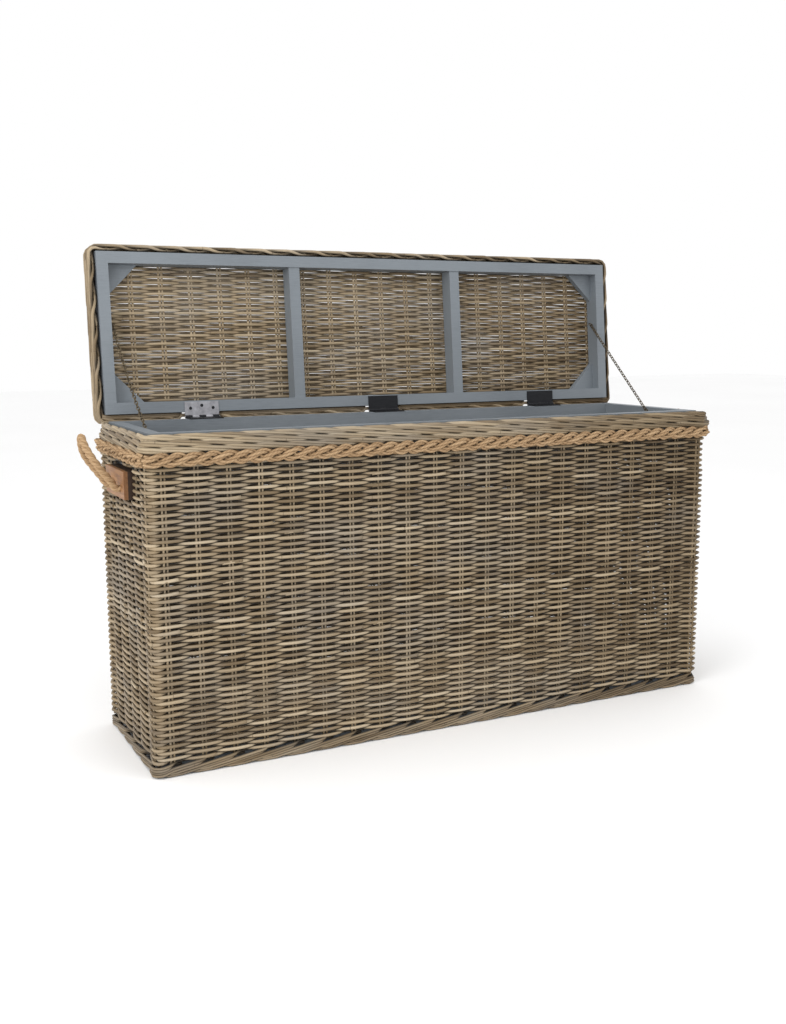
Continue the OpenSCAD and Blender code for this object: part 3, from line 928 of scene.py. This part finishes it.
# ---- Lid border ------------------------------------------------------------
# Four rows of wale stand round the lid's frame, over the stakes that bend down
# from the panel, and a last row rolls over the top edge. Two more canes fill
# the underside between the hinges.
edge_front = shut_box("lid_border_front")
edge_back = shut_box("lid_border_back")
edge_left = shut_box("lid_border_left")
edge_right = shut_box("lid_border_right")
edge_inset = 3.2 * MM
edge_behind = 4.0 * MM
edge_corner = 12 * MM
lid_ring = Loop(
    edge_left[0][0] + edge_inset, edge_right[1][0] - edge_inset,
    edge_front[0][1] + edge_inset, edge_back[1][1] + edge_behind, edge_corner,
)
lid_wale_rows = 4
lid_border_z = edge_front[0][2]
lid_wale_pitch = (edge_front[1][2] - lid_border_z) / (lid_wale_rows + 0.25)
lid_wale_thick = 6.2 * MM
lid_wale_fall = 3.4 * MM
lid_wale_shift = 0.37
lid_pairs = 52
lid_row_in = 4.6 * MM
lid_row_down = 3.4 * MM
lid_clear = 2.9 * MM
hinge_clear = 40 * MM
filler_clear = 39 * MM
filler_end = 6 * MM
lid_draw = random.Random(5)
lid_runs = {side: [] for side in SIDES}
lid_long = lid_ring.ends[1] + lid_ring.corner * math.pi / 4
lid_short = lid_ring.ends[3] + lid_ring.corner * math.pi / 4
lid_corner_at = [lid_long, lid_short, lid_short + lid_long]
for row in range(lid_wale_rows + 1):
    for pair in range(lid_pairs):
        t = np.linspace(-0.5, 2.5, 25)
        shown = swept(t, -0.1, 2.1, 0.6)
        begin = (pair + lid_wale_shift * row) % lid_pairs
        s = (begin + t) * lid_ring.length / lid_pairs
        last = row == lid_wale_rows
        out = (-5.2 + 8.0 * shown) * MM - (lid_row_in if last else 0)
        flat, outward = lid_ring.at(s)
        z = lid_border_z + (row + 0.56) * lid_wale_pitch - (lid_row_down if last else 0)
        z = z + lid_wale_fall * np.interp(t, *wale_slant) * (0.4 if last else 1)
        flat = flat + outward * out[:, None]
        to_hinge = np.min([np.abs(flat[:, 0] - spot) for spot in hinge_spots], axis=0)
        reach = np.clip((to_hinge - hinge_clear) / (6 * MM), 0, 1) * 9.0 * MM - lid_clear
        flat[:, 1] = np.minimum(flat[:, 1], edge_back[1][1] + reach)
        z = np.maximum(z, lid_border_z + lid_clear)
        middle = s[len(s) // 2] % lid_ring.length
        side = ROUND[int(np.searchsorted(lid_corner_at, middle, "right"))]
        tone = lid_draw.uniform(0.15, 0.95)
        lid_runs[side].append((opened(at_height(flat, z)), tone, lid_draw.uniform(0.93, 1.03)))
hinge_stops = sorted([spot + side * filler_clear for spot in hinge_spots for side in (-1, 1)])
hinge_stops = [edge_back[0][0] + filler_end, *hinge_stops, edge_back[1][0] - filler_end]
for begin, end in zip(hinge_stops[::2], hinge_stops[1::2]):
    for course in range(2):
        x = np.linspace(begin, end, 12)
        y = np.full(12, edge_back[1][1] - (5.6 - 3.6 * course) * MM)
        z = np.full(12, lid_border_z + (4.2 + 1.6 * course) * MM)
        lid_runs["back"].append((opened(np.column_stack([x, y, z])), 0.3, 1.0))


def lid_edge_light(place, middle):
    """Light on the lid's edge: bright outside and underneath, dark between the canes."""
    place, middle = shut(place), shut(middle)
    proud = lid_ring.beyond(place)
    facing = (proud - lid_ring.beyond(middle)) / (lid_wale_thick / MM / 2)
    hinge_side = place[:, 1] > edge_back[1][1] - 9 * MM
    below = (lid_border_z + (3.2 + 5 * hinge_side) * MM - place[:, 2]) / (2 * MM)
    above = (place[:, 2] - edge_front[1][2] + 5 * MM) / (2 * MM)
    bare = np.maximum(below, above).clip(0, 1) * 0.85
    outer = ((proud + 9 + 5 * hinge_side) / 6.0).clip(0, 1)
    return outer * np.maximum(roundness(facing - 0.1), bare)


for side, runs in lid_runs.items():
    border = canes(
        "lid_border_wale_" + side, runs, lid_wale_thick, cane, "lid", sides=8, light=lid_edge_light
    )
    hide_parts("lid_border_" + side)

# ---- Handle blocks ---------------------------------------------------------
# A bored hardwood block is screwed to the board through the weave at each end,
# and guides the rope handle. It is oiled, with darker end grain.


def oiled_hardwood(wire):
    place = wire.place()
    grain = place.stretched(90, 7, 90).noise(3.2, 6.0, 0.62)
    pores = place.stretched(700, 40, 700).noise(1.0, 2.0) > 0.62
    facing = wire.add("NewGeometry", out=1)
    end_grain = wire.maths("ABSOLUTE", facing.part(1)) > 0.7
    shade = (grain * 0.8 + place.noise(12.0) * 0.2).colours(
        (0.3, (0.15, 0.062, 0.022)),
        (0.5, (0.27, 0.125, 0.048)),
        (0.72, (0.40, 0.210, 0.088)),
    )
    worn = (pores * 0.35).mixed(shade, (0.12, 0.05, 0.02))
    grained = (end_grain * 0.5).mixed(worn, (0.17, 0.075, 0.03))
    # Painted shadow: the part of the block within the weave's opening is turned nearly black, where
    # the opening's shadow falls.
    painted_opening_shadow = wire.maths("ABSOLUTE", place.part(0)) < 0.6062
    return {
        "Base Color": (painted_opening_shadow * 0.93).mixed(grained, (0.02, 0.01, 0.006)),
        "Roughness": 0.40 + 0.2 * grain,
        "Height": (grain - pores * 0.4, 0.0003),
    }


dress(finish("oiled_hardwood", oiled_hardwood), "handle_block_left", "handle_block_right")

# ---- Rope handles ----------------------------------------------------------
# One length of three-strand jute rope goes through both holes of a block, is
# knotted inside the box, and stands up in a stiff loop outside it.
rope_thick = 12.8 * MM
rope_lay = 42 * MM
strand_orbit = rope_thick * 0.27
strand_thick = rope_thick * 0.56
knot_radius = 13 * MM
knot_wrap = 8.0 * MM
knot_turns = 2.1
knot_from, knot_long = 5, 12


def eased(t, first, second):
    """A cubic curve from 0 to 1 with these two middle points."""
    return 3 * (1 - t) ** 2 * t * first + 3 * (1 - t) * t**2 * second + t**3


def handle_path(side):
    """The middle of the rope, from one inner end through its hole, round, and back in."""
    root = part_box("handle_block_" + side)
    loop_low, loop_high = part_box("rope_loop_" + side)
    ends_low, ends_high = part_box("rope_ends_" + side)
    away = 1 if side == "right" else -1
    face = root[1].x if side == "right" else root[0].x
    inner = ends_low.x if side == "right" else ends_high.x
    hand_y = (ends_high.y - ends_low.y) / 2 - knot_radius
    low_z = (ends_low.z + ends_high.z) / 2
    joint = [j for j in frame["joints"] if j["name"] == f"handle_{side}_bend"][0]
    start = joint["pos_m"][0]
    out_by = abs((loop_high if away > 0 else loop_low).x - start) - rope_thick / 2
    up_by = loop_high.z - low_z - rope_thick / 2
    t = np.linspace(0, 1, 40)
    across = start + away * out_by * eased(t, 0.17, 0.96)
    half = hand_y * np.where(t < 0.5, 1, np.cos(math.pi * (t - 0.5).clip(0)))
    leg = np.column_stack([across, -half, low_z + up_by * eased(t, 0.24, 0.54)])
    inside = np.linspace(inner, start, 14)[:-1]
    lead = np.column_stack([inside, np.full(13, -hand_y), np.full(13, low_z)])
    one = np.vstack([lead, leg])
    other = one[::-1] * np.array([1, -1, 1])
    whole = np.vstack([one[:-1], other])
    dense = np.linspace(0, len(whole) - 1, 260)
    path = np.column_stack([np.interp(dense, np.arange(len(whole)), part) for part in whole.T])
    return path, away, inner, face, low_z, hand_y


def smoothed(path, passes):
    """The same line with its corners eased."""
    path = path.copy()
    for _ in range(passes):
        path[1:-1] = (path[:-2] + 2 * path[1:-1] + path[2:]) / 4
    return path


for side in ("left", "right"):
    path, away, inner, face, low_z, hand_y = handle_path(side)
    path = smoothed(path, 12)
    aside = np.cross(np.gradient(path, axis=0), [0.05, 1.0, 0.1]) + 1e-9
    strands = laid_up(path, aside, strand_orbit, rope_lay, 3)
    runs = [(strand, 0.5, 1.0) for strand in strands]
    for sign in (-1, 1):
        turn = np.linspace(0, 2 * math.pi * knot_turns, 60)
        x = inner + away * (knot_from + knot_long * turn / turn[-1]) * MM
        y = sign * hand_y + knot_wrap * np.cos(turn)
        runs.append((np.column_stack([x, y, low_z + knot_wrap * np.sin(turn)]), 0.55, 1.35))
    handle = canes(
        "rope_handle_" + side, runs, strand_thick, jute, None, sides=10, wavering=0.02
    )
    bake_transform(handle)
    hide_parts("rope_loop_" + side, "rope_ends_" + side)

# ---- Hinges and screws -----------------------------------------------------
# Three butt hinges of pressed steel plate, lacquered black with their screws.
# The left leaf on the lid has lost its lacquer. The pins are turned steel.


def black_lacquer(wire):
    place = wire.place()
    worn = place.noise(160.0, 4.0, 0.7)
    rubbed_edge = wire.add("NewGeometry", out=7) > 0.55
    return {
        "Base Color": (worn > 0.70).mixed((0.022, 0.023, 0.026), (0.10, 0.095, 0.09)),
        "Metallic": 0.75,
        "Roughness": 0.30 + 0.25 * worn + 0.1 * rubbed_edge,
        "Height": (worn, 0.00015),
    }


def bright_steel(wire):
    place = wire.place()
    turned = place.stretched(900, 40, 40).noise(1.0, 2.0)
    return {
        "Base Color": turned.colours((0.3, (0.30, 0.30, 0.31)), (0.7, (0.50, 0.50, 0.52))),
        "Metallic": 1.0,
        "Roughness": 0.28 + 0.2 * turned,
        "Height": (turned, 0.0001),
    }


def worn_steel(wire):
    place = wire.place()
    scuffs = place.noise(90.0, 4.0, 0.6)
    shade = scuffs.colours((0.35, (0.26, 0.26, 0.28)), (0.7, (0.42, 0.42, 0.45)))
    return {"Base Color": shade, "Metallic": 0.35, "Roughness": 0.5, "Height": (scuffs, 0.0001)}


lacquer = finish("black_lacquer", black_lacquer)
for place in ("left", "middle", "right"):
    dress(lacquer, "hinge_box_leaf_" + place, "hinge_lid_leaf_" + place)
dress(finish("worn_steel", worn_steel), "hinge_lid_leaf_left")
dress(lacquer, "hinge_screws_box", "hinge_screws_lid")
dress(finish("bright_steel", bright_steel), "hinge_pins", "handle_screws")

# ---- Stay chains -----------------------------------------------------------
# A light chain of oval bronzed links holds the lid at each end, hooked to an
# eye in the box and one in the lid. The left one hangs a little slack.


def dark_bronze(wire):
    place = wire.place()
    tarnish = place.noise(300.0, 3.0)
    shade = tarnish.colours((0.35, (0.055, 0.043, 0.028)), (0.65, (0.20, 0.155, 0.095)))
    return {"Base Color": shade, "Metallic": 0.85, "Roughness": 0.42, "Height": (tarnish, 0.0001)}


bronze = finish("dark_bronze", dark_bronze)
dress(bronze, "chain_eyes_box", "chain_eyes_lid")
link_wire = 1.9 * MM
link_wide = 7 * MM
link_pitch = 8.2 * MM
link_lap = 1.9 * MM
eye_in = 2.0 * MM
eye_across = 9.9 * MM
eye_centre = 4.9 * MM
left_sag = 9 * MM


def eye_middle(node, away):
    """The middle of one ring of a pair of eyes: the ring is the end away from the board."""
    mesh = frame["nodes"][node].data
    points = np.zeros(len(mesh.vertices) * 3)
    mesh.vertices.foreach_get("co", points)
    points = points.reshape(-1, 3)
    points = points[points[:, 0] * away > 0]
    inmost = np.abs(points[:, 0]).min()
    ring = points[np.abs(points[:, 0]) < inmost + eye_across]
    middle = (ring.min(0) + ring.max(0)) / 2
    middle[0] = away * (inmost + eye_centre)
    return middle


for side, away, sag in (("left", -1, left_sag), ("right", 1, 0.0)):
    a = eye_middle("chain_eyes_box", away)
    b = eye_middle("chain_eyes_lid", away)
    span = np.linalg.norm(b - a)
    along = (b - a) / span
    down = np.cross([1, 0, 0], along)
    down /= np.linalg.norm(down)
    run = span - 2 * eye_in - link_lap
    links = 2 * int(run / link_pitch / 2) + 1
    pitch = run / links
    shape = bpy.data.curves.new("links", "CURVE")
    shape.dimensions = "3D"
    shape.bevel_depth = link_wire / 2
    shape.bevel_resolution = 1
    for link in range(links):
        s = eye_in + link * pitch + (pitch + link_lap) / 2
        t = s / span
        middle = a + along * s - down * 4 * sag * t * (1 - t)
        lead = along - down * 4 * sag * (1 - 2 * t) / span
        lead /= np.linalg.norm(lead)
        wide = np.array([1.0, 0, 0]) if link % 2 else np.cross(lead, [1, 0, 0])
        wide = wide - lead * np.dot(wide, lead)
        wide /= np.linalg.norm(wide)
        half = (pitch + link_lap) / 2
        bend = (link_wide - link_wire) / 2
        turn = np.linspace(-math.pi / 2, math.pi / 2, 6)
        cap = np.column_stack([half - bend + bend * np.cos(turn), bend * np.sin(turn)])
        oval = np.vstack([cap, -cap])
        line = shape.splines.new("POLY")
        line.points.add(len(oval) - 1)
        line.use_cyclic_u = True
        points = middle + oval[:, :1] * lead + oval[:, 1:] * wide
        line.points.foreach_set("co", np.hstack([points, np.ones((len(oval), 1))]).ravel())
    bent = bpy.data.objects.new("links", shape)
    mesh = bpy.data.meshes.new_from_object(bent)
    bpy.data.objects.remove(bent)
    mesh.shade_smooth()
    mesh.materials.clear()
    mesh.materials.append(bronze)
    chain = bpy.data.objects.new("stay_chain_" + side, mesh)
    bpy.context.scene.collection.objects.link(chain)
    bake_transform(chain)
    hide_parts("chain_" + side)
